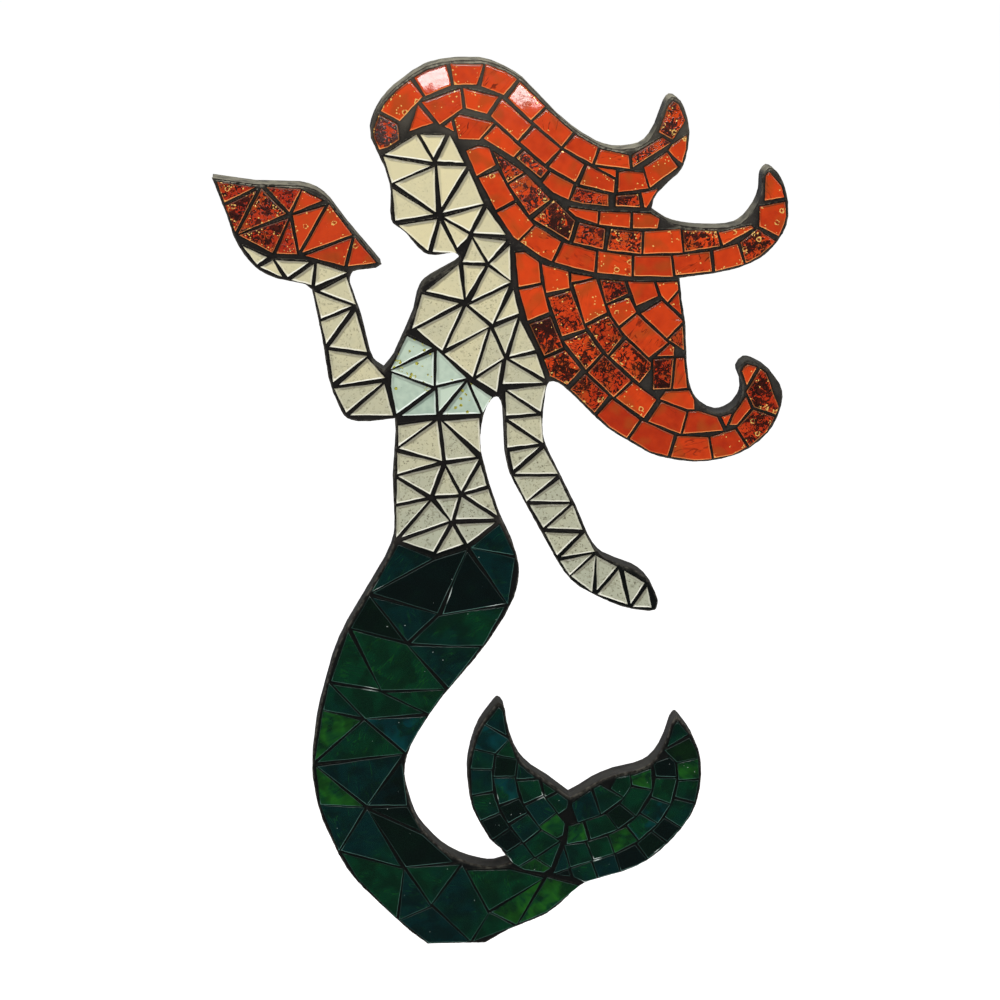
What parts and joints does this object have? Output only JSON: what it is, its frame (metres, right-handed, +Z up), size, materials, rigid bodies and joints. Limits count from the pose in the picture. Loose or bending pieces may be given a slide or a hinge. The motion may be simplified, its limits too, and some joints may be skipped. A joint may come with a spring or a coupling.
{
  "type": "mosaic wall panel",
  "caption": "Flat board sawn to the shape of a mermaid holding up a shell, its front laid with cut glass mosaic in dark grout, made to hang on a wall.",
  "frame": {"origin": "the point on the board's flat back where the panel is hung, on the vertical line through its balance, seven tenths of the height up", "axes": "+Y out of the back into the wall, so the front faces -Y; +Z up; +X to the right seen from the front"},
  "size_m": [0.3518, 0.015, 0.6],
  "materials": {
    "board_paint": "sheet board painted dark grey, satin",
    "grout": "dark charcoal cement grout, matt and slightly rough",
    "red_glass": "opaque red glass, glossy, some pieces crackled black with gold flecks",
    "orange_glass": "opaque orange-red glass, glossy, some pieces crackled black with gold flecks",
    "cream_glass": "opaque cream glass with fine dark specks",
    "aqua_glass": "opaque pale aqua glass with gold-green flecks",
    "green_glass": "opaque deep green glass, very glossy, streaked"
  },
  "bodies": {
    "root": {"backing_board": "board_paint", "chest_mosaic": "cream_glass", "face_glass_01": "cream_glass", "face_glass_02": "cream_glass", "face_glass_03": "cream_glass", "face_glass_04": "cream_glass", "face_glass_05": "cream_glass", "face_glass_06": "cream_glass", "face_glass_07": "cream_glass", "face_glass_08": "cream_glass", "face_glass_09": "cream_glass", "face_glass_10": "cream_glass", "face_glass_11": "cream_glass", "face_glass_12": "cream_glass", "face_glass_13": "cream_glass", "face_grout": "grout", "hair_mosaic": "orange_glass", "lowered_arm_mosaic": "cream_glass", "raised_arm_mosaic": "cream_glass", "shell_glass_01": "red_glass", "shell_glass_02": "red_glass", "shell_glass_03": "red_glass", "shell_glass_04": "red_glass", "shell_glass_05": "red_glass", "shell_glass_06": "red_glass", "shell_glass_07": "red_glass", "shell_glass_08": "red_glass", "shell_glass_09": "red_glass", "shell_glass_10": "red_glass", "shell_glass_11": "red_glass", "shell_grout": "grout", "tail_mosaic": "green_glass", "top_glass_01": "aqua_glass", "top_glass_02": "aqua_glass", "top_glass_03": "aqua_glass", "top_glass_04": "aqua_glass", "top_glass_05": "aqua_glass", "top_glass_06": "aqua_glass", "top_glass_07": "aqua_glass", "top_glass_08": "aqua_glass", "top_grout": "grout", "waist_mosaic": "cream_glass"}
  },
  "joints": []
}
